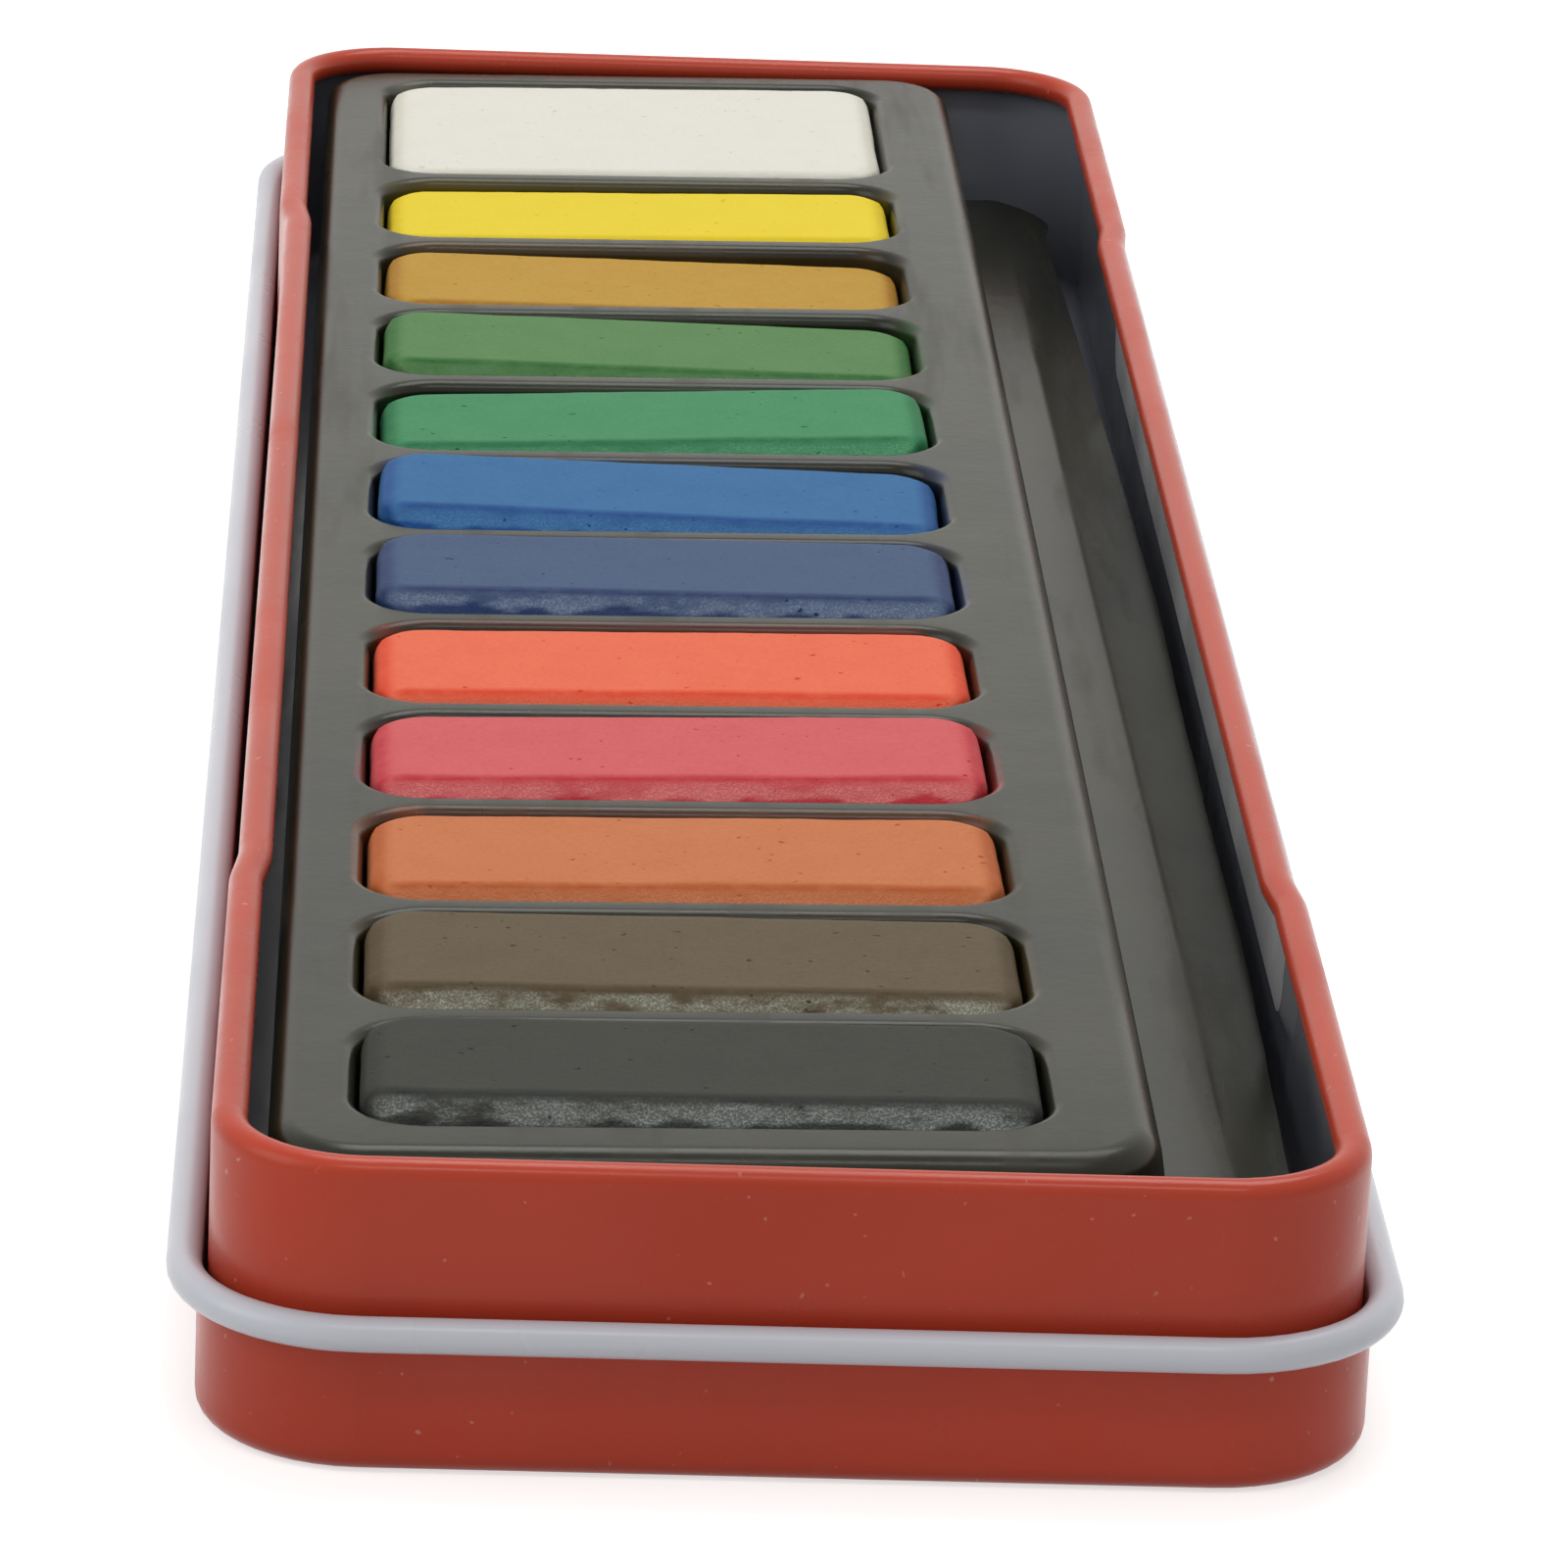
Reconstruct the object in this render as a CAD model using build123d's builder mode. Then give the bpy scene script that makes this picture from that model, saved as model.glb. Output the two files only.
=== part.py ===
from build123d import *
from math import tan, radians
import os

# Watercolour paint tin: a long tinplate pan with a black formed tray of twelve
# pressed cakes, standing in its own upturned lid. Millimetres, +Z up, +Y along
# the tin to the large white cake, +X to the brush trough. The origin is the
# middle of the face that the lid stands on.

# Tinplate
tin_sheet = 0.25
foot_bend = 1.2
base_height = 16.65
base_corner = 8.0
base_curl = 0.95
lid_height = 9.0
lid_curl = 0.93
lid_clearance = 0.3

# Panel pressed into the upper part of each long wall of the pan
panel_flat_length = 132.0
panel_end_slope = 4.0
panel_depth = 0.42
panel_drop = 9.4
panel_crease = 0.5
panel_corner = 3.0
panel_bend = 12.0

# Formed tray
tray_sheet = 0.5
tray_side_clearance = 0.3
tray_end_clearance = 1.4
tray_end_play = 0.9
tray_draft = 1.2
tray_corner = 4.9
platform_drop = 1.0
platform_edge = 1.4
trough_depth = 9.2
trough_floor_width = 6.8
trough_corner = 4.4
riser_draft = 9.5

# Wells in the tray, sized at the platform's top
well_width = 36.2
well_length = 14.6
white_well_length = 25.5
well_depth = 7.0
well_draft = 2.5
well_corner = 3.4
well_edge = 0.6
rib_width = 2.43
near_margin = 4.5
far_margin = 3.6
left_margin = 4.4
right_margin = 5.5

# Pressed cakes of paint, from the near end of the tin to the far end
small_cakes = [
    "black",
    "brown",
    "sienna",
    "crimson",
    "vermilion",
    "navy",
    "blue",
    "green",
    "light_green",
    "ochre",
    "yellow",
]
cake_clearance = 0.12
cake_rise = 0.4
cake_bevel = 1.6

# Levels
lid_floor_top = tin_sheet
rim_top = lid_floor_top + base_height
tray_foot = lid_floor_top + tin_sheet
platform_top = rim_top - platform_drop
trough_floor = platform_top - trough_depth
well_floor = platform_top - well_depth

# Plan of the tray's top, worked out from the wells
well_pitch = well_length + rib_width
wells_length = len(small_cakes) * well_pitch + white_well_length
top_length = near_margin + wells_length + far_margin
top_width = left_margin + well_width + right_margin

# Plan of the tray's foot, one draft further out than its top
skirt_height = platform_top - tray_foot
skirt_flare = skirt_height * tan(radians(tray_draft))
riser_run = trough_depth * tan(radians(riser_draft))
tray_length = top_length + 2 * skirt_flare
tray_width = skirt_flare + top_width + riser_run + trough_floor_width

# Plan of the pan, whose rolled rim leaves room to lift the tray out
base_width = tray_width + 2 * (tray_side_clearance + panel_depth + 2 * base_curl)
base_length = tray_length + 2 * (tray_end_clearance + 2 * base_curl)

# Tray edges in the tin's plan
tray_left = -tray_width / 2
tray_right = tray_width / 2
tray_near = -tray_length / 2 + tray_end_play
top_left = tray_left + skirt_flare
top_near = tray_near + skirt_flare
riser_foot = tray_right - trough_floor_width
wells_x = top_left + left_margin + well_width / 2


# The press goes this many depths past a wall's face, so that it cuts right through
panel_overshoot = 1.5


def pan_form(width, length, corner, foot, bottom, top):
    """A block with a drawn pan's outline, rounded along its foot."""
    with BuildPart() as form:
        with BuildSketch(Plane.XY.offset(bottom)):
            RectangleRounded(width, length, corner)
        extrude(amount=top - bottom)
        fillet(form.faces().sort_by(Axis.Z)[0].edges(), foot)
    return form.part


def panel_form(face_x):
    """The hollow that a pressed panel leaves beside a wall whose face is at face_x."""
    with BuildPart() as form:
        for depth_share in (0, panel_overshoot):
            plane = Plane(
                origin=(face_x - panel_depth * (1 - depth_share), 0, rim_top),
                x_dir=(0, 1, 0),
                z_dir=(1, 0, 0),
            )
            half_length = panel_flat_length / 2 + depth_share * panel_end_slope
            drop = panel_drop + depth_share * panel_crease
            with BuildSketch(plane):
                RectangleRounded(2 * half_length, 2 * drop, panel_corner)
        loft(ruled=True)
    return form.part


def pressed_outline():
    """The pan's outline at its rim, with both long sides pressed in."""
    half_width = base_width / 2
    half_flat = panel_flat_length / 2
    half_panel = half_flat + panel_end_slope
    with BuildSketch() as outline:
        RectangleRounded(base_width, base_length, base_corner)
        for side in (-1, 1):
            with BuildLine():
                Polyline(
                    (side * (half_width + panel_depth), -half_panel),
                    (side * half_width, -half_panel),
                    (side * (half_width - panel_depth), -half_flat),
                    (side * (half_width - panel_depth), half_flat),
                    (side * half_width, half_panel),
                    (side * (half_width + panel_depth), half_panel),
                    close=True,
                )
            make_face(mode=Mode.SUBTRACT)
        bends = outline.vertices().filter_by_position(Axis.Y, -half_panel, half_panel)
        fillet(bends, panel_bend)
    return outline.sketch.face()


def bead_section(path, radius):
    """The round section of a closed rolled rim, at the start of its path."""
    start = Plane(
        origin=path @ 0,
        x_dir=(path % 0).cross(Vector(0, 0, 1)),
        z_dir=-(path % 0),
    )
    with BuildSketch(start) as section:
        Circle(radius)
    return section.sketch.face()


def draft_form(left, right, near, length, bottom, top, draft, right_draft, corner):
    """A block that narrows upwards, given by its foot's edges."""
    rise = top - bottom
    inset = rise * tan(radians(draft))
    right_inset = rise * tan(radians(right_draft))
    with BuildPart() as form:
        with BuildSketch(Plane.XY.offset(bottom)):
            with Locations(((left + right) / 2, near + length / 2)):
                Rectangle(right - left, length)
        with BuildSketch(Plane.XY.offset(top)):
            with Locations(((left + inset + right - right_inset) / 2, near + length / 2)):
                Rectangle(right - left - inset - right_inset, length - 2 * inset)
        loft(ruled=True)
        upright_edges = form.edges().filter_by_position(
            Axis.Z, bottom, top, inclusive=(False, False)
        )
        fillet(upright_edges, corner)
    return form.part


def well_form(near, length, grow, floor, top):
    """The space of one well, or of its cup with grow set to the sheet."""
    rise = top - floor
    inset = (platform_top - floor) * tan(radians(well_draft)) - grow
    with BuildPart() as form:
        with BuildSketch(Plane.XY.offset(floor)):
            with Locations((wells_x, near + length / 2)):
                RectangleRounded(
                    well_width - 2 * inset,
                    length - 2 * inset,
                    well_corner,
                )
        extrude(amount=rise, taper=-well_draft)
    return form.part


# Lid, lying upside down with its rolled rim up
lid_inner_width = base_width + 2 * lid_clearance
lid_inner_length = base_length + 2 * lid_clearance
lid_inner_corner = base_corner + lid_clearance
lid_wall_top = lid_height - lid_curl
lid_core = pan_form(
    lid_inner_width,
    lid_inner_length,
    lid_inner_corner,
    foot_bend - tin_sheet,
    lid_floor_top,
    lid_height,
)
with BuildPart() as lid:
    with BuildSketch():
        RectangleRounded(
            lid_inner_width + 2 * tin_sheet,
            lid_inner_length + 2 * tin_sheet,
            lid_inner_corner + tin_sheet,
        )
    extrude(amount=lid_wall_top)
    fillet(lid.faces().sort_by(Axis.Z)[0].edges(), foot_bend)
    add(lid_core, mode=Mode.SUBTRACT)
    with BuildSketch(Plane.XY.offset(lid_wall_top), mode=Mode.PRIVATE) as lid_rim:
        RectangleRounded(
            lid_inner_width + 2 * lid_curl,
            lid_inner_length + 2 * lid_curl,
            lid_inner_corner + lid_curl,
        )
    lid_path = lid_rim.sketch.face().outer_wire()
    sweep(bead_section(lid_path, lid_curl), path=lid_path)

# Pan, nested in the lid and standing on its floor
base_wall_top = rim_top - base_curl
base_core = pan_form(
    base_width - 2 * tin_sheet,
    base_length - 2 * tin_sheet,
    base_corner - tin_sheet,
    foot_bend - tin_sheet,
    lid_floor_top + tin_sheet,
    rim_top,
)
inner_press = panel_form(base_width / 2 - tin_sheet)
outer_press = panel_form(base_width / 2)
with BuildPart() as pan_space:
    add(base_core)
    add(inner_press, mode=Mode.SUBTRACT)
    add(mirror(inner_press, about=Plane.YZ, mode=Mode.PRIVATE), mode=Mode.SUBTRACT)
with BuildPart() as base_tin:
    with BuildSketch(Plane.XY.offset(lid_floor_top)):
        RectangleRounded(base_width, base_length, base_corner)
    extrude(amount=base_wall_top - lid_floor_top)
    fillet(base_tin.faces().sort_by(Axis.Z)[0].edges(), foot_bend)
    add(outer_press, mode=Mode.SUBTRACT)
    add(mirror(outer_press, about=Plane.YZ, mode=Mode.PRIVATE), mode=Mode.SUBTRACT)
    add(pan_space.part, mode=Mode.SUBTRACT)
    rim_face = pressed_outline().moved(Location((0, 0, base_wall_top)))
    base_path = rim_face.outer_wire().offset_2d(-base_curl, kind=Kind.INTERSECTION)
    sweep(bead_section(base_path, base_curl), path=base_path)

# Tray: platform, skirt, riser and trough floor in one sheet
riser_foot_low = riser_foot + (trough_floor - tray_foot) * tan(radians(riser_draft))
tray_core = draft_form(
    tray_left + tray_sheet,
    riser_foot_low - tray_sheet,
    tray_near + tray_sheet,
    tray_length - 2 * tray_sheet,
    tray_foot,
    platform_top - tray_sheet,
    tray_draft,
    riser_draft,
    tray_corner - tray_sheet,
)
with BuildPart() as colour_tray:
    add(
        draft_form(
            tray_left,
            riser_foot_low,
            tray_near,
            tray_length,
            tray_foot,
            platform_top,
            tray_draft,
            riser_draft,
            tray_corner,
        )
    )
    with BuildSketch(Plane.XY.offset(trough_floor - tray_sheet)):
        with Locations((tray_right - trough_floor_width, tray_near + tray_length / 2)):
            RectangleRounded(
                2 * trough_floor_width,
                tray_length - 2 * skirt_flare,
                trough_corner,
            )
    extrude(amount=tray_sheet)
    add(tray_core, mode=Mode.SUBTRACT)
    with BuildSketch(Plane.XY.offset(tray_foot)):
        with Locations((tray_right, tray_near + tray_length / 2)):
            Rectangle(2 * (tray_right - riser_foot + tray_corner), 2 * tray_length)
    extrude(amount=trough_floor - tray_sheet - tray_foot, mode=Mode.SUBTRACT)
    top_edges = colour_tray.faces().sort_by(Axis.Z)[-1].edges()
    fillet(top_edges, platform_edge)

# Wells and the cakes in them
cakes = []
names = small_cakes + ["white"]
well_near = top_near + near_margin
cups = []
hollows = []
for name in names:
    length = white_well_length if name == "white" else well_length
    cups.append(
        well_form(
            well_near,
            length,
            tray_sheet,
            well_floor - tray_sheet,
            platform_top - tray_sheet / 2,
        )
    )
    hollows.append(well_form(well_near, length, 0, well_floor, platform_top))
    floor_inset = well_depth * tan(radians(well_draft)) + cake_clearance
    with BuildPart() as cake:
        with BuildSketch(Plane.XY.offset(well_floor)):
            with Locations((wells_x, well_near + length / 2)):
                RectangleRounded(
                    well_width - 2 * floor_inset,
                    length - 2 * floor_inset,
                    well_corner - cake_clearance,
                )
        extrude(amount=well_depth + cake_rise, taper=-well_draft)
        chamfer(cake.faces().sort_by(Axis.Z)[-1].edges(), cake_bevel)
    cake.part.label = "paint_cake_" + name
    cakes.append(cake)
    well_near += length + rib_width

with BuildPart() as finished_tray:
    add(colour_tray.part)
    for cup in cups:
        add(cup)
    for hollow in hollows:
        add(hollow, mode=Mode.SUBTRACT)
    mouths = finished_tray.faces().sort_by(Axis.Z)[-1].inner_wires()
    chamfer(mouths.edges(), well_edge)

lid.part.label = "lid"
base_tin.part.label = "base_tin"
finished_tray.part.label = "colour_tray"
for piece in [lid, base_tin, finished_tray] + cakes:
    export_step(piece.part, "parts/" + piece.part.label + ".step")

print("pan", round(base_width, 2), "by", round(base_length, 2), "by", base_height)
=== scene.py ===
import math

import bmesh
import bpy
from mathutils import Matrix, Vector, noise


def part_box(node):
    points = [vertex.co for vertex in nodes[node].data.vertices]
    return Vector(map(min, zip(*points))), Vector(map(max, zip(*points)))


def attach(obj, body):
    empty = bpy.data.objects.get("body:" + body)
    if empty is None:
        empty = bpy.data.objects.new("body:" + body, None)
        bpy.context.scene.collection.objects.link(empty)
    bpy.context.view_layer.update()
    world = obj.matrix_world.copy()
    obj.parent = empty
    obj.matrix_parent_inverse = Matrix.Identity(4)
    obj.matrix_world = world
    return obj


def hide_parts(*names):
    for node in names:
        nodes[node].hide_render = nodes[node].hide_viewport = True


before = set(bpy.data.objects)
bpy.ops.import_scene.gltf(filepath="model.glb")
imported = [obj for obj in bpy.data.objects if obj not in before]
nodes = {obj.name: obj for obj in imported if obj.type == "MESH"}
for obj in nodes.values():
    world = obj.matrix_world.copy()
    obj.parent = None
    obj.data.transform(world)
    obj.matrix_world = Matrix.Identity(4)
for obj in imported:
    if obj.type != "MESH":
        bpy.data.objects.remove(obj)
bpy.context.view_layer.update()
mm = 0.001

# Paint cakes in order from the near end: the paint's colour, the deep colour of its damp ridge, which also
# gives the painted shade on its near slope and foot, the colour of its worn near slope, and how strongly
# that slope has worn
cake_paints = {
    "black": dict(paint=(63, 64, 59), deep=(26, 29, 28), worn=(154, 160, 156), wear=0.8),
    "brown": dict(paint=(99, 88, 71), deep=(60, 45, 18), worn=(176, 182, 168), wear=0.8),
    "sienna": dict(paint=(192, 119, 81), deep=(160, 72, 16), worn=(214, 142, 108), wear=0.4),
    "crimson": dict(paint=(201, 98, 100), deep=(172, 26, 44), worn=(230, 150, 146), wear=0.55),
    "vermilion": dict(paint=(222, 112, 85), deep=(206, 52, 16), worn=(232, 120, 92), wear=0.4),
    "navy": dict(paint=(76, 92, 120), deep=(18, 38, 84), worn=(142, 156, 178), wear=0.6),
    "blue": dict(paint=(63, 108, 153), deep=(0, 58, 122), worn=(98, 152, 208), wear=0.35),
    "green": dict(paint=(74, 136, 97), deep=(0, 92, 50), worn=(116, 186, 146), wear=0.4),
    "light_green": dict(paint=(92, 129, 85), deep=(16, 84, 24), worn=(108, 150, 104), wear=0.4),
    "ochre": dict(paint=(181, 144, 67), deep=(150, 98, 16), worn=(196, 160, 84), wear=0.15),
    "yellow": dict(paint=(222, 199, 61), deep=(206, 180, 0), worn=(240, 222, 90), wear=0.15),
    "white": dict(paint=(217, 215, 206), deep=(198, 196, 182), worn=(236, 236, 230), wear=0.2),
}

# How far each cake's left and right ends stand above or below the nominal height and how wide its near
# slope is, in millimetres, and how far it has turned in its well, in degrees
cake_lies = {
    "black": dict(left=0.15, right=0.5, slope=2.3, turn=0.0),
    "brown": dict(left=-0.1, right=0.15, slope=1.9, turn=0.0),
    "sienna": dict(left=-0.5, right=0.15, slope=1.7, turn=-0.4),
    "crimson": dict(left=-0.35, right=0.55, slope=2.2, turn=-0.5),
    "vermilion": dict(left=-0.6, right=0.05, slope=1.6, turn=-0.2),
    "navy": dict(left=0.15, right=0.35, slope=2.3, turn=-0.1),
    "blue": dict(left=0.2, right=-0.25, slope=1.9, turn=0.7),
    "green": dict(left=-1.0, right=0.45, slope=1.8, turn=-0.6),
    "light_green": dict(left=-0.2, right=-0.5, slope=1.7, turn=0.6),
    "ochre": dict(left=-0.8, right=-0.9, slope=0.9, turn=0.5),
    "yellow": dict(left=-1.1, right=-0.25, slope=1.3, turn=-0.2),
    "white": dict(left=-0.7, right=0.15, slope=0.6, turn=0.0),
}

# A colour mix has several sockets of each name, one for each kind of value, so these go by number
mix_share = 0
mix_first = 6
mix_second = 7
mix_result = 2

# Every finish puts out the same three things
finish_outputs = (
    ("Color", "NodeSocketColor"),
    ("Roughness", "NodeSocketFloat"),
    ("Height", "NodeSocketFloat"),
)
bump_distance = 0.1 * mm


def tone(red, green, blue):
    """A colour given as it looks, from 0 to 255, as the linear colour that a shader takes."""
    shades = []
    for part in (red, green, blue):
        value = part / 255
        shades.append(value / 12.92 if value <= 0.04045 else ((value + 0.055) / 1.055) ** 2.4)
    return (*shades, 1.0)


def new_material(name, **sockets):
    """A Principled material with plain values on the shader's own sockets."""
    material = bpy.data.materials.new(name)
    material.use_nodes = True
    shader = material.node_tree.nodes["Principled BSDF"]
    for socket, value in sockets.items():
        shader.inputs[socket.replace("_", " ")].default_value = value
    return material


def join(tree, start, end):
    """Links one socket to another."""
    tree.links.new(start, end)


def place_group(material, group, relief, **values):
    """Puts a finish into a material, with its relief's strength and its own values, and links it."""
    tree = material.node_tree
    node = tree.nodes.new("ShaderNodeGroup")
    node.node_tree = group
    for socket, value in values.items():
        node.inputs[socket.replace("_", " ")].default_value = value
    shader = tree.nodes["Principled BSDF"]
    join(tree, node.outputs["Color"], shader.inputs["Base Color"])
    join(tree, node.outputs["Roughness"], shader.inputs["Roughness"])
    bump = tree.nodes.new("ShaderNodeBump")
    bump.inputs["Strength"].default_value = relief
    bump.inputs["Distance"].default_value = bump_distance
    join(tree, node.outputs["Height"], bump.inputs["Height"])
    join(tree, bump.outputs["Normal"], shader.inputs["Normal"])
    return node


def place_object(name, data):
    """Puts a new object into the scene."""
    placed = bpy.data.objects.new(name, data)
    bpy.context.scene.collection.objects.link(placed)
    return placed


def apply_modifiers(piece):
    """Gives a piece the mesh that its modifiers make."""
    bpy.context.view_layer.update()
    evaluated = piece.evaluated_get(bpy.context.evaluated_depsgraph_get())
    mesh = bpy.data.meshes.new_from_object(evaluated)
    piece.modifiers.clear()
    piece.data = mesh
    return mesh


class Finish:
    """A shader node group under construction."""

    def __init__(self, name, inputs):
        self.tree = bpy.data.node_groups.new(name, "ShaderNodeTree")
        for label, kind, value in inputs:
            socket = self.tree.interface.new_socket(label, in_out="INPUT", socket_type=kind)
            socket.default_value = value
        for label, kind in finish_outputs:
            self.tree.interface.new_socket(label, in_out="OUTPUT", socket_type=kind)
        self.start = self.tree.nodes.new("NodeGroupInput")
        self.end = self.tree.nodes.new("NodeGroupOutput")
        self.place = self.tree.nodes.new("ShaderNodeTexCoord").outputs["Object"]

    def feed(self, socket, value):
        """Links a socket to another one, or sets it to a plain value."""
        if isinstance(value, bpy.types.NodeSocket):
            self.tree.links.new(value, socket)
        else:
            socket.default_value = value

    def take(self, label):
        """One of the group's own inputs."""
        return self.start.outputs[label]

    def give(self, label, value):
        """Puts a value out of the group."""
        self.feed(self.end.inputs[label], value)

    def cloud(self, scale, detail, roughness=0.55, stretch=(1, 1, 1)):
        """Noise from 0 to 1 over the object."""
        spread = self.tree.nodes.new("ShaderNodeMapping")
        spread.inputs["Scale"].default_value = stretch
        self.feed(spread.inputs["Vector"], self.place)
        node = self.tree.nodes.new("ShaderNodeTexNoise")
        self.feed(node.inputs["Vector"], spread.outputs["Vector"])
        self.feed(node.inputs["Scale"], scale)
        node.inputs["Detail"].default_value = detail
        node.inputs["Roughness"].default_value = roughness
        return node.outputs["Fac"]

    def ramp(self, value, low, high, out_low=0.0, out_high=1.0):
        """Moves a value from one span to another, with soft ends."""
        node = self.tree.nodes.new("ShaderNodeMapRange")
        node.interpolation_type = "SMOOTHSTEP"
        self.feed(node.inputs["Value"], value)
        self.feed(node.inputs["From Min"], low)
        self.feed(node.inputs["From Max"], high)
        self.feed(node.inputs["To Min"], out_low)
        self.feed(node.inputs["To Max"], out_high)
        return node.outputs["Result"]

    def combine(self, operation, first, second):
        """Two values through one math operation."""
        node = self.tree.nodes.new("ShaderNodeMath")
        node.operation = operation
        self.feed(node.inputs[0], first)
        self.feed(node.inputs[1], second)
        return node.outputs["Value"]

    def add(self, first, second):
        """The sum of two values."""
        return self.combine("ADD", first, second)

    def multiply(self, first, second):
        """The product of two values."""
        return self.combine("MULTIPLY", first, second)

    def mix(self, share, first, second):
        """One colour with a share of another in it."""
        node = self.tree.nodes.new("ShaderNodeMix")
        node.data_type = "RGBA"
        self.feed(node.inputs[mix_share], share)
        self.feed(node.inputs[mix_first], first)
        self.feed(node.inputs[mix_second], second)
        return node.outputs[mix_result]

    def attribute(self, name):
        """A value that the mesh holds at each of its points."""
        node = self.tree.nodes.new("ShaderNodeAttribute")
        node.attribute_name = name
        return node.outputs["Fac"]


# Enamel on tinplate: faint orange peel, slow drift of tone and a few specks of dust
lacquer = Finish(
    "lacquer_coat",
    [
        ("Tint", "NodeSocketColor", (0.5, 0.5, 0.5, 1)),
        ("Dust", "NodeSocketColor", (0.8, 0.8, 0.8, 1)),
        ("Drift", "NodeSocketFloat", 0.1),
        ("Dust Amount", "NodeSocketFloat", 0.2),
        ("Gloss", "NodeSocketFloat", 0.35),
    ],
)
speck_relief = 2.0
drift = lacquer.ramp(lacquer.cloud(scale=38.0, detail=2.0), low=0.3, high=0.7)
darkened = lacquer.mix(drift, (0, 0, 0, 1), lacquer.take("Tint"))
shaded = lacquer.mix(lacquer.take("Drift"), lacquer.take("Tint"), darkened)
specks = lacquer.ramp(lacquer.cloud(scale=1500.0, detail=1.0), low=0.74, high=0.8)
specks = lacquer.multiply(specks, lacquer.take("Dust Amount"))
lacquer.give("Color", lacquer.mix(specks, shaded, lacquer.take("Dust")))
smear = lacquer.cloud(scale=90.0, detail=4.0)
smear = lacquer.ramp(smear, low=0.35, high=0.7, out_low=-0.05, out_high=0.07)
lacquer.give("Roughness", lacquer.add(lacquer.take("Gloss"), smear))
peel = lacquer.cloud(scale=900.0, detail=1.0)
lacquer.give("Height", lacquer.add(peel, lacquer.multiply(specks, speck_relief)))

# Formed black sheet: chalky bloom, fine rubbing marks along the tin and pigment dust
formed = Finish(
    "formed_sheet",
    [
        ("Tint", "NodeSocketColor", (0.05, 0.05, 0.05, 1)),
        ("Bloom", "NodeSocketColor", (0.2, 0.2, 0.2, 1)),
        ("Bloom Amount", "NodeSocketFloat", 0.5),
        ("Gloss", "NodeSocketFloat", 0.45),
    ],
)
bloom_share = 0.6
rub_share = 0.25
grit_share = 0.35
swell_relief = 3.0
grain_relief = 0.6
along_tin = (1, 0.12, 1)
bloom = formed.ramp(formed.cloud(scale=60.0, detail=4.0), low=0.35, high=0.7)
rubs = formed.cloud(scale=260.0, detail=3.0, roughness=0.6, stretch=along_tin)
rubs = formed.ramp(rubs, low=0.45, high=0.75)
grit = formed.ramp(formed.cloud(scale=2600.0, detail=2.0), low=0.66, high=0.78)
bloom = formed.add(formed.multiply(bloom, bloom_share), formed.multiply(rubs, rub_share))
bloom = formed.add(bloom, formed.multiply(grit, grit_share))
bloom = formed.multiply(bloom, formed.take("Bloom Amount"))
formed.give("Color", formed.mix(bloom, formed.take("Tint"), formed.take("Bloom")))
scuffs = formed.ramp(rubs, low=0, high=1, out_low=-0.04, out_high=0.08)
formed.give("Roughness", formed.add(formed.take("Gloss"), scuffs))
swell = formed.multiply(formed.cloud(scale=110.0, detail=2.0), swell_relief)
grain = formed.multiply(formed.cloud(scale=1400.0, detail=3.0), grain_relief)
formed.give("Height", formed.add(grain, swell))

# Pressed paint: faint mottling, a damp deep ridge, a worn speckled slope with painted shade, painted shade
# at its foot, chips and press grain
pressed = Finish(
    "pressed_paint",
    [
        ("Paint", "NodeSocketColor", (0.5, 0.5, 0.5, 1)),
        ("Worn", "NodeSocketColor", (0.6, 0.6, 0.6, 1)),
        ("Deep", "NodeSocketColor", (0.3, 0.3, 0.3, 1)),
        ("Wear", "NodeSocketFloat", 0.3),
    ],
)
mottle_share = 0.1
stipple_share = 0.14
least_crumbs = 0.3
slope_shade_share = 0.28
foot_shade_share = 0.85
pit_relief = 2.0
wide_patches = (0.5, 1, 1)
mottle = pressed.ramp(pressed.cloud(scale=300.0, detail=4.0, roughness=0.6), low=0.35, high=0.75)
stipple = pressed.ramp(pressed.cloud(scale=3200.0, detail=2.0, roughness=0.7), low=0.35, high=0.7)
mottle = pressed.add(pressed.multiply(mottle, mottle_share), pressed.multiply(stipple, stipple_share))
body = pressed.mix(mottle, pressed.take("Paint"), pressed.take("Deep"))
ridge_mark = pressed.attribute("ridge")
uneven = pressed.cloud(scale=900.0, detail=4.0, roughness=0.6)
uneven = pressed.ramp(uneven, low=0.25, high=0.6, out_low=0.6, out_high=1.0)
damp = pressed.multiply(ridge_mark, uneven)
body = pressed.mix(damp, body, pressed.take("Deep"))
slope_mark = pressed.attribute("near_slope")
crumbs = pressed.ramp(pressed.cloud(scale=7500.0, detail=2.0, roughness=0.6), low=0.3, high=0.72)
patches = pressed.cloud(scale=420.0, detail=4.0, roughness=0.7, stretch=wide_patches)
patches = pressed.ramp(patches, low=0.34, high=0.56)
rub = pressed.multiply(pressed.combine("MAXIMUM", crumbs, least_crumbs), patches)
rub = pressed.multiply(rub, slope_mark)
rub = pressed.multiply(rub, pressed.take("Wear"))
# Painted shade: the near slope is darkened towards the deep colour, standing in for the lesser light it gets
body = pressed.mix(pressed.multiply(slope_mark, slope_shade_share), body, pressed.take("Deep"))
body = pressed.mix(rub, body, pressed.take("Worn"))
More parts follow.
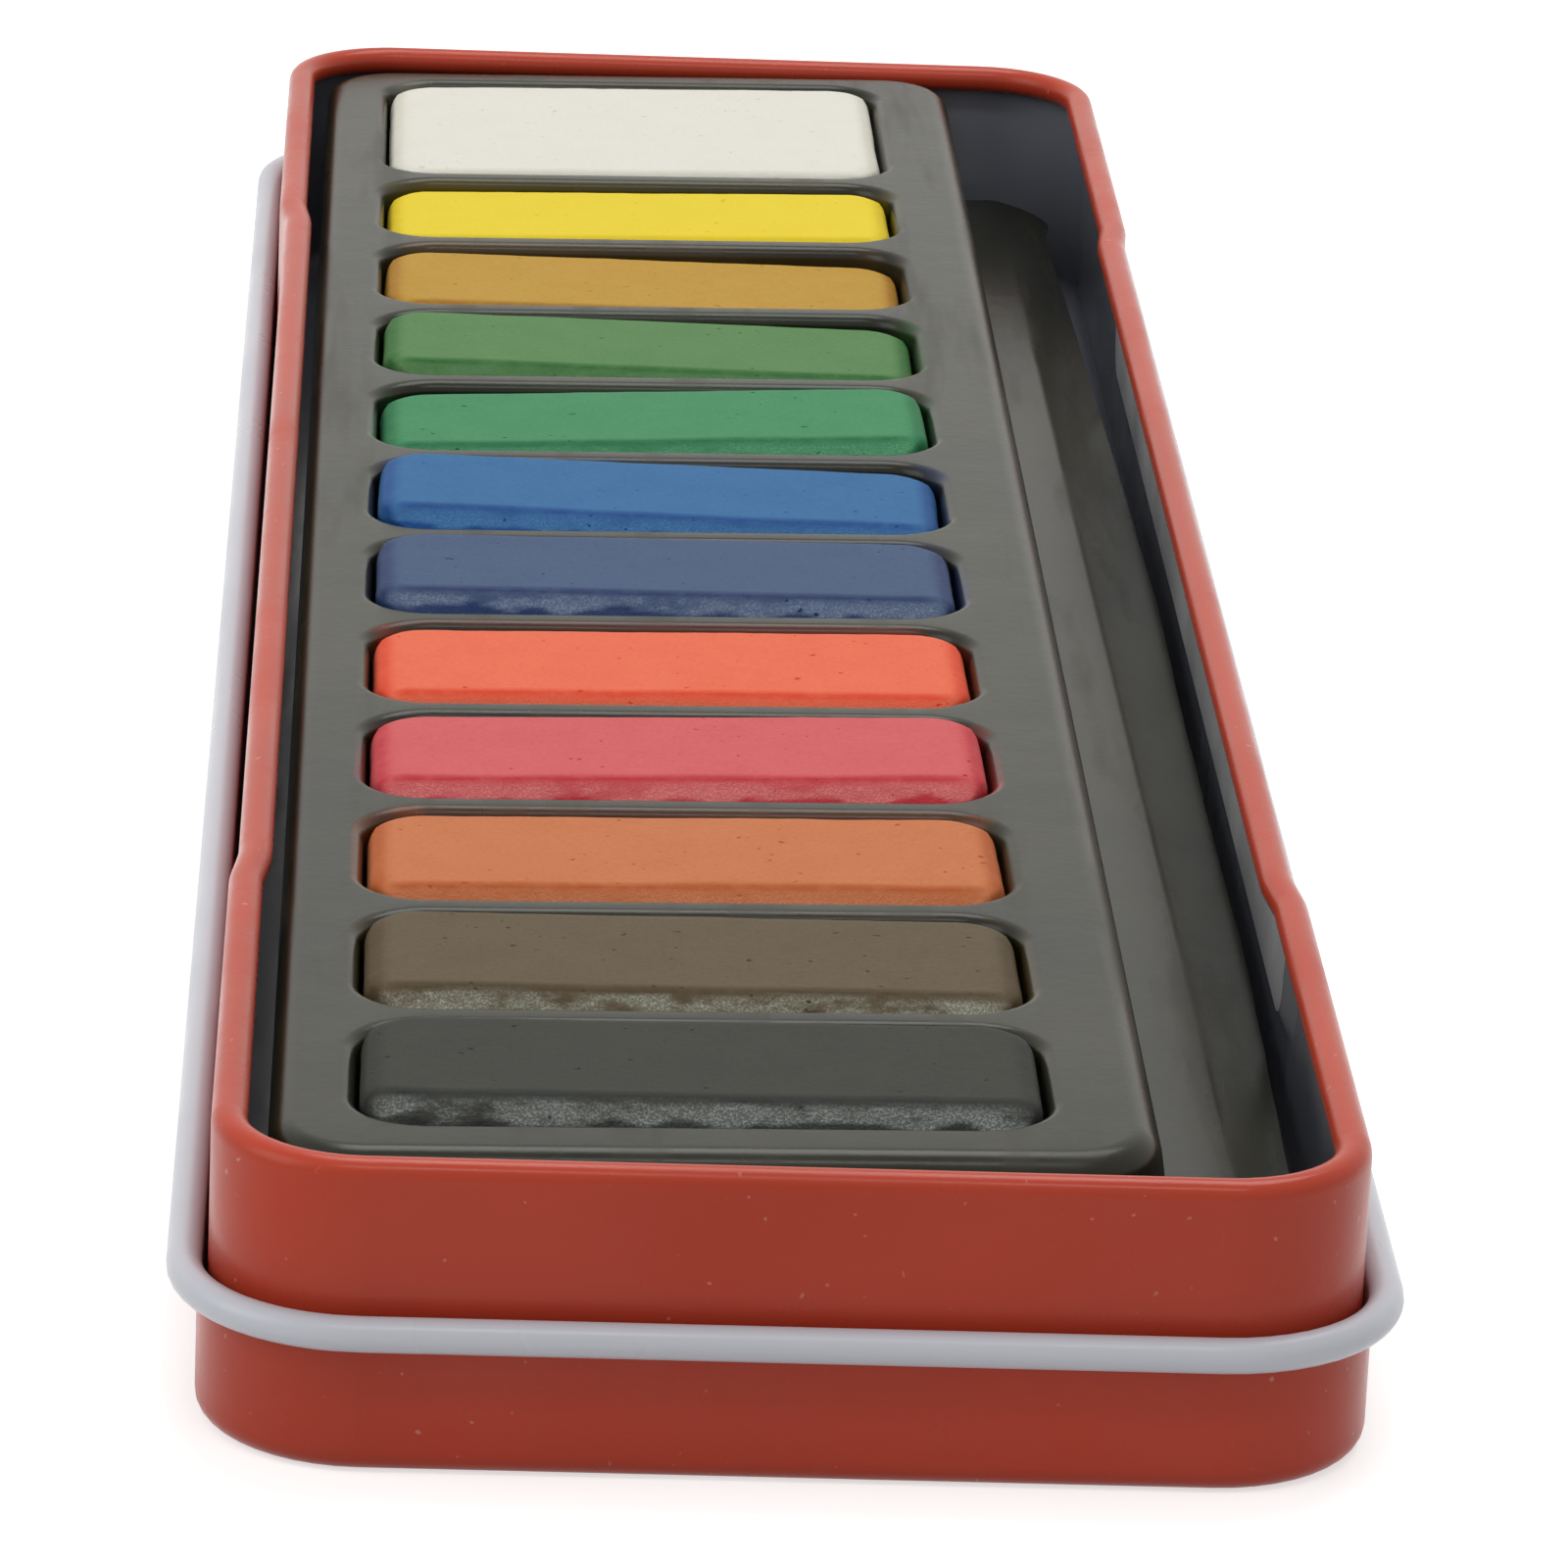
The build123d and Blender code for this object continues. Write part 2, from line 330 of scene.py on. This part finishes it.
# Painted shade: the foot of the near slope, where it dips into the well, darkens to the deep colour
foot_shade_mark = pressed.attribute("painted_foot_shade")
body = pressed.mix(pressed.multiply(foot_shade_mark, foot_shade_share), body, pressed.take("Deep"))
pits = pressed.ramp(pressed.cloud(scale=1500.0, detail=1.0), low=0.2, high=0.27)
pits = pressed.combine("SUBTRACT", 1.0, pits)
pressed.give("Color", pressed.mix(pits, body, pressed.take("Deep")))
pressed.give("Roughness", pressed.ramp(damp, low=0, high=1, out_low=0.7, out_high=0.5))
grain = pressed.cloud(scale=2400.0, detail=4.0, roughness=0.7)
grain = pressed.add(grain, pressed.multiply(crumbs, slope_mark))
pressed.give("Height", pressed.combine("SUBTRACT", grain, pressed.multiply(pits, pit_relief)))

red_outside = new_material("red_lacquer_outside", Specular_IOR_Level=0.22)
place_group(
    red_outside,
    lacquer.tree,
    relief=0.12,
    Tint=tone(182, 62, 40),
    Dust=tone(230, 190, 180),
    Drift=0.1,
    Dust_Amount=0.25,
    Gloss=0.27,
)
dark_inside = new_material("dark_lacquer_inside", Specular_IOR_Level=0.5)
place_group(
    dark_inside,
    lacquer.tree,
    relief=0.08,
    Tint=tone(126, 129, 140),
    Dust=tone(150, 150, 155),
    Drift=0.12,
    Dust_Amount=0.2,
    Gloss=0.2,
)
# A paler, glossier coat for the inner face of the long walls' panels: painted sheen standing in for the
# light that face reflects
painted_sheen_panel = new_material("painted_sheen_panel_inside", Specular_IOR_Level=0.5)
place_group(
    painted_sheen_panel,
    lacquer.tree,
    relief=0.08,
    Tint=tone(228, 230, 238),
    Dust=tone(150, 150, 155),
    Drift=0.12,
    Dust_Amount=0.2,
    Gloss=0.18,
)
pale_inside = new_material("pale_lacquer_inside", Specular_IOR_Level=0.4)
place_group(
    pale_inside,
    lacquer.tree,
    relief=0.1,
    Tint=tone(198, 201, 211),
    Dust=tone(120, 110, 110),
    Drift=0.04,
    Dust_Amount=0.05,
    Gloss=0.32,
)
black_sheet = new_material("black_formed_sheet", Specular_IOR_Level=0.24)
sheet_look = place_group(
    black_sheet,
    formed.tree,
    relief=0.2,
    Tint=tone(24, 24, 15),
    Bloom=tone(74, 72, 52),
    Bloom_Amount=0.3,
    Gloss=0.29,
)

# The black sheet also carries paint that has rubbed off on the wells' mouths
sheet_tree = black_sheet.node_tree
paint_marks = sheet_tree.nodes.new("ShaderNodeAttribute")
paint_marks.attribute_name = "paint_marks"
smudge = sheet_tree.nodes.new("ShaderNodeMix")
smudge.data_type = "RGBA"
join(sheet_tree, paint_marks.outputs["Alpha"], smudge.inputs[mix_share])
join(sheet_tree, sheet_look.outputs["Color"], smudge.inputs[mix_first])
join(sheet_tree, paint_marks.outputs["Color"], smudge.inputs[mix_second])
join(sheet_tree, smudge.outputs[mix_result], sheet_tree.nodes["Principled BSDF"].inputs["Base Color"])

# Tinplate shells: the side of the sheet that a face is on decides its coat
pan_rim = 1.9 * mm
lid_rim = 1.86 * mm
pan_rim_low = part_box("base_tin")[1].z - pan_rim
lid_rim_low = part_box("lid")[1].z - lid_rim
upright_limit = 0.7

# Places of the lacquers in a shell's list of materials
outside_slot = 0
inside_slot = 1
painted_sheen_slot = 2


def facing_in(face):
    """Whether a face of an upright wall looks towards the middle of the tin."""
    centre = face.center
    flat = Vector((centre.x, centre.y, 0))
    return face.normal.dot(flat.normalized()) < 0


def coat_shell(node, outside, inside, rim_low, rim_slot):
    """Coats a tinplate shell: one lacquer outside, another inside, and either on its rolled rim."""
    mesh = nodes[node].data
    mesh.materials.clear()
    mesh.materials.append(outside)
    mesh.materials.append(inside)
    for face in mesh.polygons:
        if face.center.z > rim_low:
            face.material_index = rim_slot
        elif abs(face.normal.z) < upright_limit:
            face.material_index = inside_slot if facing_in(face) else outside_slot
        else:
            face.material_index = inside_slot if face.normal.z > 0 else outside_slot


coat_shell("base_tin", red_outside, dark_inside, pan_rim_low, outside_slot)
coat_shell("lid", red_outside, pale_inside, lid_rim_low, inside_slot)

# The inner face of each long wall's panel gets a paler coat: painted sheen, standing in for the light that
# this face reflects
panel_inset = 0.67 * mm
panel_slip = 0.03 * mm
panel_squareness = 0.99
panel_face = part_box("base_tin")[1].x - panel_inset
pan_mesh = nodes["base_tin"].data
pan_mesh.materials.append(painted_sheen_panel)
for face in pan_mesh.polygons:
    on_panel = abs(abs(face.center.x) - panel_face) < panel_slip and abs(face.normal.x) > panel_squareness
    if on_panel and face.material_index == inside_slot:
        face.material_index = painted_sheen_slot

# Tray sheet, formed again from the same measures as its solid, with rounded mouths and a sprung lip
tray_low, tray_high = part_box("colour_tray")
sheet = 0.5 * mm
side_draft = math.tan(math.radians(1.2))
riser_draft = math.tan(math.radians(9.5))
well_draft = math.tan(math.radians(2.5))
trough_drop = 9.2 * mm
trough_width = 6.8 * mm
skirt_flare = (tray_high.z - tray_low.z) * side_draft
top_left = tray_low.x + skirt_flare
top_right = tray_high.x - trough_width - trough_drop * riser_draft
top_near = tray_low.y + skirt_flare
top_far = tray_high.y - skirt_flare
tray_corner = 4.9 * mm
trough_corner = 4.4 * mm
platform_edge = 1.4 * mm
mouth_round = 0.8 * mm
crease_round = 0.5 * mm
arc_steps = 8
crease_steps = 3
sharp_angle = math.radians(50)
hair = 0.01 * mm

# Wells, in a row from the near end
left_margin = 4.4 * mm
near_margin = 4.5 * mm
well_width = 36.2 * mm
well_left = top_left + left_margin
well_right = well_left + well_width
well_deep = 7.0 * mm
well_corner = 3.7 * mm
small_well = 14.6 * mm
white_well = 25.5 * mm
rib = 2.43 * mm

# The trough's outer strip bends down along a line that runs slightly askew of the tin
lip_cuts = 70
lip_bend = 24.2 * mm
lip_bend_width = 0.5 * mm
lip_bend_skew = 0.007
lip_bend_across = Vector((1, lip_bend_skew, 0)).normalized()
lip_bend_fall = math.tan(math.radians(11))

# The lip's bulges: where along the tin each one is, how far it reaches, how square its ends are, and how
# far it stands out, in millimetres
lip_bulges = (
    (-20, 82, 4, 1.15),
    (14, 9, 2, 0.15),
    (-52, 10, 2, 0.2),
    (100, 14, 2, -0.4),
)
lip_ripple = 0.12
lip_ripple_length = 7 * mm
lip_ripple_seed = 4.0

# The tray sits aslant in the pan: its top leans about a line along the tin
seat_slant = 0.018
seat_line = -11.6 * mm

# Rubbed-off paint comes in patches on the upper part of each well's mouth
stain_level = 0.1
stain_contrast = 1.3
stain_length = 3.1 * mm
stain_drop = well_deep * 0.5


def formed_ring(form, left, right, near, far, corner, height):
    """A face in the shape of a rounded rectangle at one height, as one turn of the formed sheet."""
    made = bmesh.ops.create_grid(form, x_segments=1, y_segments=1, size=0.5)["verts"]
    for vert in made:
        vert.co = Vector((right if vert.co.x > 0 else left, far if vert.co.y > 0 else near, height))
    rounded = bmesh.ops.bevel(
        form,
        geom=made,
        offset=corner,
        offset_type="OFFSET",
        segments=arc_steps,
        profile=0.5,
        affect="VERTICES",
        material=-1,
    )
    verts = set(rounded["verts"])
    return next(f for f in form.faces if all(v in verts for v in f.verts))


def drop_face(form, face):
    """Leaves a ring's edges and takes its face away."""
    edges = list(face.edges)
    bmesh.ops.delete(form, geom=[face], context="FACES_ONLY")
    return edges


def rounding(radius, lean, steps=6):
    """Steps from level to a wall that leans by an angle: how far out, and how far down."""
    for step in range(steps + 1):
        angle = step / steps * (math.pi / 2 - lean)
        yield radius * (1 - math.sin(angle)), radius * (1 - math.cos(angle))


def well_spans():
    """Each well's cake and where the well starts and ends along the tin."""
    near = top_near + near_margin
    for name in cake_paints:
        length = white_well if name == "white" else small_well
        yield name, near, near + length
        near += length + rib


def press_well(form, near, far):
    """One well pressed down from the platform, with a rounded mouth. Gives the mouth's outer edges."""
    turns = list(rounding(mouth_round, math.atan(well_draft)))
    turns.append((-well_deep * well_draft, well_deep))
    above = None
    mouth = None
    for out, drop in turns:
        face = formed_ring(
            form,
            well_left - out,
            well_right + out,
            near - out,
            far + out,
            well_corner + out,
            tray_high.z - drop,
        )
        is_floor = drop == well_deep
        edges = list(face.edges) if is_floor else drop_face(form, face)
        if above:
            bmesh.ops.bridge_loops(form, edges=above + edges)
        else:
            mouth = edges
        above = edges
    return mouth


def form_hat(form):
    """Platform edge, riser and skirt, ring by ring. Gives the platform's edges and the riser's foot."""
    turns = list(rounding(platform_edge, 0))
    turns.append((0, trough_drop))
    turns.append((0, tray_high.z - tray_low.z))
    rings = []
    for inset, drop in turns:
        face = formed_ring(
            form,
            top_left + inset - drop * side_draft,
            top_right - inset + drop * riser_draft,
            top_near + inset - drop * side_draft,
            top_far - inset + drop * side_draft,
            tray_corner - inset,
            tray_high.z - drop,
        )
        rings.append(drop_face(form, face))
    for upper, lower in zip(rings, rings[1:]):
        bmesh.ops.bridge_loops(form, edges=upper + lower)
    return rings[0], rings[-2]


def sprung_lip(y):
    """How far the lip springs out past its straight line, along the tin."""
    out = 0.0
    for place, reach, power, height in lip_bulges:
        out += math.exp(-(((y / mm - place) / reach) ** power)) * height
    ripple = noise.noise(Vector((0, y / lip_ripple_length, lip_ripple_seed))) * lip_ripple
    return (out + ripple) * mm


def lay_trough(form, riser_foot):
    """The trough's floor, from the riser's foot to its free lip."""
    level = tray_high.z - trough_drop
    ends = []
    for side in (-1, 1):
        limit = top_far if side > 0 else -top_near
        along = [v for e in riser_foot for v in e.verts if v.co.x > 0 and v.co.y * side < limit]
        ends.append(max(along, key=lambda v: v.co.y * side))
    start_x = min(v.co.x for v in ends) - hair
    centres = [(f, f.calc_center_median()) for f in form.faces]
    spare = [f for f, centre in centres if centre.z < level and centre.x > start_x]
    bmesh.ops.delete(form, geom=spare, context="FACES")
    before = set(form.verts)
    back_x = start_x - 2 * trough_corner
    face = formed_ring(form, back_x, tray_high.x, top_near, top_far, trough_corner, level)
    drop_face(form, face)
    outline = [v for v in form.verts if v not in before]
    bmesh.ops.delete(form, geom=[v for v in outline if v.co.x < start_x], context="VERTS")
    outline = [v for v in outline if v.is_valid]
    for end in ends:
        loose = [v for v in outline if len(v.link_edges) == 1 and v.co.y * end.co.y > 0]
        form.edges.new((end, loose[0]))
    border = {e for v in outline for e in v.link_edges}
    straight = max(border, key=lambda e: e.calc_length())
    cut = bmesh.ops.subdivide_edges(form, edges=[straight], cuts=lip_cuts)
    for vert in [g for g in cut["geom_inner"] if isinstance(g, bmesh.types.BMVert)]:
        vert.co.x += sprung_lip(vert.co.y)
    border = [e for e in form.edges if not e.link_faces]
    foot = [e for e in riser_foot if all(v.co.x > start_x for v in e.verts)]
    bmesh.ops.triangle_fill(form, use_beauty=True, use_dissolve=False, edges=border + foot, normal=(0, 0, 1))
    bmesh.ops.bevel(
        form,
        geom=foot,
        offset=crease_round,
        offset_type="OFFSET",
        segments=crease_steps,
        profile=0.5,
        affect="EDGES",
        material=-1,
    )


def bend_lip(form):
    """Bends the trough's outer strip down a little, over two close lines along the tin."""
    level = tray_high.z - trough_drop
    for out in (0.0, lip_bend_width):
        centres = [(f, f.calc_center_median()) for f in form.faces]
        faces = [f for f, centre in centres if abs(centre.z - level) < hair and centre.x > top_right]
        edges = dict.fromkeys(e for f in faces for e in f.edges)
        verts = dict.fromkeys(v for f in faces for v in f.verts)
        line = Vector((lip_bend + out, 0, 0))
        bmesh.ops.bisect_plane(form, geom=[*faces, *edges, *verts], plane_co=line, plane_no=lip_bend_across)
    for vert in form.verts:
        past = (vert.co - Vector((lip_bend, 0, 0))).dot(lip_bend_across)
        if past > 0 and abs(vert.co.z - level) < hair:
            vert.co.z -= past * lip_bend_fall * min(1.0, past / lip_bend_width)


def seat_tray(mesh):
    """Sets the tray a little aslant in the pan: its foot stays, its top leans with the right side up."""
    form = bmesh.new()
    form.from_mesh(mesh)
    for vert in form.verts:
        height = (vert.co.z - tray_low.z) / (tray_high.z - tray_low.z)
        vert.co.z += (vert.co.x - seat_line) * seat_slant * height
    form.to_mesh(mesh)
    form.free()


def stain_mouths(mesh):
    """Marks where paint has rubbed off on the ends of each well's mouth, in the cake's own colour."""
    marks = [(0.0, 0.0, 0.0, 0.0)] * len(mesh.vertices)
    for place, (name, near, far) in enumerate(well_spans()):
        look = cake_paints[name]
        for vert in mesh.vertices:
            spot = vert.co
            along = near - mouth_round < spot.y < far + mouth_round
            across = well_left - mouth_round < spot.x < well_right + mouth_round
            on_mouth = tray_high.z - stain_drop < spot.z < tray_high.z - hair
            if along and across and on_mouth:
                patch = noise.noise(spot / stain_length + Vector((place, 0, 0)))
                amount = max(0.0, min(1.0, stain_level + stain_contrast * patch))
                marks[vert.index] = (*tone(*look["deep"])[:3], amount * look["wear"])
    layer = mesh.color_attributes.new("paint_marks", "FLOAT_COLOR", "POINT")
    for index, mark in enumerate(marks):
        layer.data[index].color = mark


def form_sheet():
    """The tray's middle surface: platform, wells, riser, trough floor and skirt."""
    form = bmesh.new()
    platform_ring, riser_foot = form_hat(form)
    fill = list(platform_ring)
    for _, near, far in well_spans():
        fill += press_well(form, near, far)
    bmesh.ops.triangle_fill(form, use_beauty=True, use_dissolve=False, edges=fill, normal=(0, 0, 1))
    lay_trough(form, riser_foot)
    bend_lip(form)
    bmesh.ops.recalc_face_normals(form, faces=form.faces)
    top = max(form.faces, key=lambda f: f.calc_center_median().z)
    if top.normal.z < 0:
        bmesh.ops.reverse_faces(form, faces=form.faces)
    mesh = bpy.data.meshes.new("paint_tray")
    form.to_mesh(mesh)
    form.free()
    return mesh


def build_tray():
    """The whole tray in one sheet, stained and set in the pan."""
    surface = form_sheet()
    stain_mouths(surface)
    piece = place_object("paint_tray", surface)
    wall = piece.modifiers.new("sheet", "SOLIDIFY")
    wall.thickness = sheet
    wall.offset = -1
    wall.use_even_offset = True
    mesh = apply_modifiers(piece)
    seat_tray(mesh)
    mesh.materials.append(black_sheet)
    mesh.shade_smooth()
    mesh.set_sharp_from_angle(angle=sharp_angle)
    even = piece.modifiers.new("even_shading", "WEIGHTED_NORMAL")
    even.keep_sharp = True
    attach(piece, "tray")
    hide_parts("colour_tray")


build_tray()

# Pressed cakes: rounded blocks with a worn near slope, each tilted a little in its well
side_gap = 0.03 * mm
grid_step = 0.28 * mm
cake_corner = 3.2 * mm
cake_slope = 1.1 * mm
corner_steps = 8
slope_steps = 2
rim_share = 0.98
turn_loss = 0.8
soften_share = 0.5
soften_turns = 2
cake_seed = Vector((7.3, 1.7, 3.1))

# The near slope: how steeply it falls, how soft its top corner is and how far its width wavers
near_fall = 0.78
near_corner = 0.5 * mm
near_waver = 0.12

# The sides' unevenness, in millimetres, and how far out from the middle it starts
wave_length = 6 * mm
ripple_length = 1.4 * mm
wave_height = 0.05
ripple_height = 0.03
uneven_from = 0.6

# The damp ridge along the near slope's top and, weaker, along both ends
ridge_shift = 0.1 * mm
ridge_width = 0.32 * mm
end_ridge_level = 0.8
end_ridge_place = 0.6 * cake_slope
end_ridge_width = 0.5 * mm
ridge_depth = 1.2 * mm

# Spans over which the marks come in: from the ends, over the slope's top, and towards the scalloped foot,
# where painted shade darkens the slope
ridge_from_end = (0.8 * mm, 2.2 * mm)
slope_from_end = (0.3 * mm, 1.8 * mm)
slope_from_ridge = (0.25 * mm, 0.55 * mm)
foot_from_top = (0.98 * mm, 1.1 * mm)
scallop_height = 0.55
scallop_length = 2.2 * mm


def between(value, low, high):
    """How far a value has come from low to high, from 0 to 1."""
    return max(0.0, min(1.0, (value - low) / (high - low)))


def hump(distance, width):
    """A smooth rise to 1 around a place, by the distance from it."""
    return math.exp(-((distance / width) ** 2))


def soft_least(first, second, blend):
    """The lower of two heights, with the corner between them rounded off."""
    share = between(second - first, -blend, blend)
    return second * (1 - share) + first * share - blend * share * (1 - share) / 2


def form_block(name, width, length, depth):
    """A drafted block about its own middle, with rounded uprights and a bevelled top."""
    block = bmesh.new()
    bmesh.ops.create_cube(block, size=1)
    bmesh.ops.scale(block, vec=(width, length, depth), verts=block.verts)
    inset = depth * well_draft
    for vert in block.verts:
        if vert.co.z < 0:
            vert.co.x -= math.copysign(inset, vert.co.x)
            vert.co.y -= math.copysign(inset, vert.co.y)
    bevel_plan = dict(offset_type="OFFSET", profile=0.5, affect="EDGES", material=-1)
    uprights = [e for e in block.edges if abs(e.verts[0].co.z - e.verts[1].co.z) > depth / 2]
    bmesh.ops.bevel(block, geom=uprights, offset=cake_corner, segments=corner_steps, **bevel_plan)
    rim = [e for e in block.edges if all(v.co.z > depth / 2 * rim_share for v in e.verts)]
    bmesh.ops.bevel(block, geom=rim, offset=cake_slope, segments=slope_steps, **bevel_plan)
    mesh = bpy.data.meshes.new(name)
    block.to_mesh(mesh)
    block.free()
    return mesh


def press_cake(name):
    """A pressed cake, formed as a drafted block, evened out and worn, standing in its well."""
    low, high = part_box("paint_cake_" + name)
    size = high - low
    middle = (low + high) / 2
    turn = math.radians(cake_lies[name]["turn"])
    length = size.y - abs(math.sin(turn)) * size.x * turn_loss
    half = Vector((size.x / 2 - side_gap, length / 2 - side_gap, size.z / 2))
    block = form_block("cake_" + name, size.x - 2 * side_gap, length - 2 * side_gap, size.z)
    piece = place_object("cake_" + name, block)
    remesh = piece.modifiers.new("even", "REMESH")
    remesh.mode = "VOXEL"
    remesh.voxel_size = grid_step
    soften = piece.modifiers.new("soften", "SMOOTH")
    soften.factor = soften_share
    soften.iterations = soften_turns
    mesh = apply_modifiers(piece)
    wear_cake(mesh, name, half)
    mesh.transform(Matrix.Translation(middle) @ Matrix.Rotation(-turn, 4, "Z"))
    mesh.shade_smooth()
    look = cake_paints[name]
    material = new_material("paint_" + name, Specular_IOR_Level=0.1)
    place_group(
        material,
        pressed.tree,
        relief=0.4,
        Paint=tone(*look["paint"]),
        Worn=tone(*look["worn"]),
        Deep=tone(*look["deep"]),
        Wear=look["wear"],
    )
    mesh.materials.append(material)
    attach(piece, "tray")
    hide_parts("paint_cake_" + name)


def wear_cake(mesh, name, half):
    """Wears a cake's near slope and sides, tilts its top, and marks its ridge, its slope for wear and
    painted shade, and its foot for painted shade.
    """
    lie = cake_lies[name]
    seed = cake_seed * (1 + list(cake_lies).index(name))
    slope_run = lie["slope"] * mm
    spots = []
    ridge = []
    near_slope = []
    painted_foot_shade = []
    outward = [vertex.normal.copy() for vertex in mesh.vertices]
    for vertex, normal in zip(mesh.vertices, outward):
        spot = vertex.co.copy()
        wave = noise.noise(spot / wave_length + seed)
        ripple = noise.noise(spot / ripple_length + seed)
        at_side = max(abs(spot.x) / half.x, abs(spot.y) / half.y)
        from_near = spot.y + half.y
        from_end = half.x - abs(spot.x)
        run = slope_run * (1 + near_waver * wave)
        spot.z = soft_least(spot.z, half.z + (from_near - run) * near_fall, near_corner)
        drop = half.z - spot.z
        uneven = wave_height * wave + ripple_height * ripple
        spot += normal * uneven * between(at_side, uneven_from, 1.0) * mm
        near_ridge = hump(from_near - run + ridge_shift, ridge_width) * between(from_end, *ridge_from_end)
        end_ridge = end_ridge_level * hump(from_end - end_ridge_place, end_ridge_width)
        ridge.append(max(near_ridge, end_ridge) if drop < ridge_depth else 0.0)
        near_slope.append(between(run - from_near, *slope_from_ridge) * between(from_end, *slope_from_end))
        scallop = scallop_height * noise.noise(Vector((spot.x / scallop_length, 0, 0)) + seed) * mm
        painted_foot_shade.append(between(drop + scallop, *foot_from_top))
        share = (spot.x / half.x + 1) / 2
        lift = lie["left"] * (1 - share) + lie["right"] * share
        spot.z += lift * mm * between(spot.z, -half.z, half.z - cake_slope)
        spots.extend(spot)
    mesh.vertices.foreach_set("co", spots)
    mesh.update()
    for label, values in (("ridge", ridge), ("near_slope", near_slope), ("painted_foot_shade", painted_foot_shade)):
        mesh.attributes.new(label, "FLOAT", "POINT").data.foreach_set("value", values)


for cake_name in cake_paints:
    press_cake(cake_name)

# Camera, at the place and angle of the photograph
camera_place = (-0.021832, -0.521069, 0.179022)
camera_right = Vector((0.99852, -0.03495, 0.04185))
camera_up = Vector((-0.02805, 0.32882, 0.94398))
camera_axes = Matrix((camera_right, camera_up, camera_right.cross(camera_up))).transposed().to_4x4()
camera_data = bpy.data.cameras.new("camera")
camera_data.sensor_width = 36.0
camera_data.lens = 198.4
camera_data.clip_start = 0.01
camera_data.clip_end = 10.0
camera = place_object("camera", camera_data)
camera.matrix_world = Matrix.Translation(camera_place) @ camera_axes
bpy.context.scene.camera = camera

background_rays = ("Is Camera Ray", "Is Glossy Ray", "Is Transmission Ray")


def light_background(tree, target, strength, plain=0.0):
    """Gives one strength to what the camera and reflections see, and a plain one to all other rays."""
    path = tree.nodes.new("ShaderNodeLightPath")
    seen = path.outputs[background_rays[0]]
    for ray in background_rays[1:]:
        either = tree.nodes.new("ShaderNodeMath")
        either.operation = "MAXIMUM"
        join(tree, seen, either.inputs[0])
        join(tree, path.outputs[ray], either.inputs[1])
        seen = either.outputs["Value"]
    chosen = tree.nodes.new("ShaderNodeMapRange")
    chosen.inputs["To Min"].default_value = plain
    chosen.inputs["To Max"].default_value = strength
    join(tree, seen, chosen.inputs["Value"])
    join(tree, chosen.outputs["Result"], target)


# Floor: pale, white to the camera and in reflections, with the object's own soft shadow
floor_half = 3.0
floor_gap = 0.02 * mm
floor_glow = 0.62
floor_mesh = bpy.data.meshes.new("floor")
floor_form = bmesh.new()
bmesh.ops.create_grid(floor_form, x_segments=1, y_segments=1, size=floor_half)
floor_form.to_mesh(floor_mesh)
floor_form.free()
floor = place_object("floor", floor_mesh)
floor.location.z = -floor_gap
floor_material = new_material(
    "studio_floor",
    Base_Color=(0.62, 0.62, 0.62, 1),
    Roughness=0.9,
    Specular_IOR_Level=0.1,
    Emission_Color=(1, 1, 1, 1),
)
floor_shader = floor_material.node_tree.nodes["Principled BSDF"]
light_background(floor_material.node_tree, floor_shader.inputs["Emission Strength"], floor_glow)
floor_mesh.materials.append(floor_material)

tin_middle = Vector((0, 0, 0))


def softbox(name, place, width, height, power):
    """A rectangular soft lamp that looks at the tin."""
    lamp_data = bpy.data.lights.new(name, "AREA")
    lamp_data.shape = "RECTANGLE"
    lamp_data.size = width
    lamp_data.size_y = height
    lamp_data.energy = power
    lamp = place_object(name, lamp_data)
    lamp.location = place
    lamp.rotation_euler = (tin_middle - Vector(place)).to_track_quat("-Z", "Y").to_euler()


softbox("overhead_softbox", place=(0.1, 0.3, 0.85), width=0.6, height=0.45, power=4.2)
softbox("front_strip", place=(0.0, -0.5, 0.9), width=0.5, height=0.12, power=1.3)
softbox("left_softbox", place=(-0.9, -0.3, 0.6), width=0.7, height=0.7, power=3.2)

sky_seen = 1.0
sky_plain = 0.45
world = bpy.data.worlds.new("studio")
bpy.context.scene.world = world
world.use_nodes = True
background = world.node_tree.nodes["Background"]
background.inputs["Color"].default_value = (1.0, 0.995, 0.95, 1)
light_background(world.node_tree, background.inputs["Strength"], sky_seen, sky_plain)

bpy.context.scene.view_settings.view_transform = "Standard"
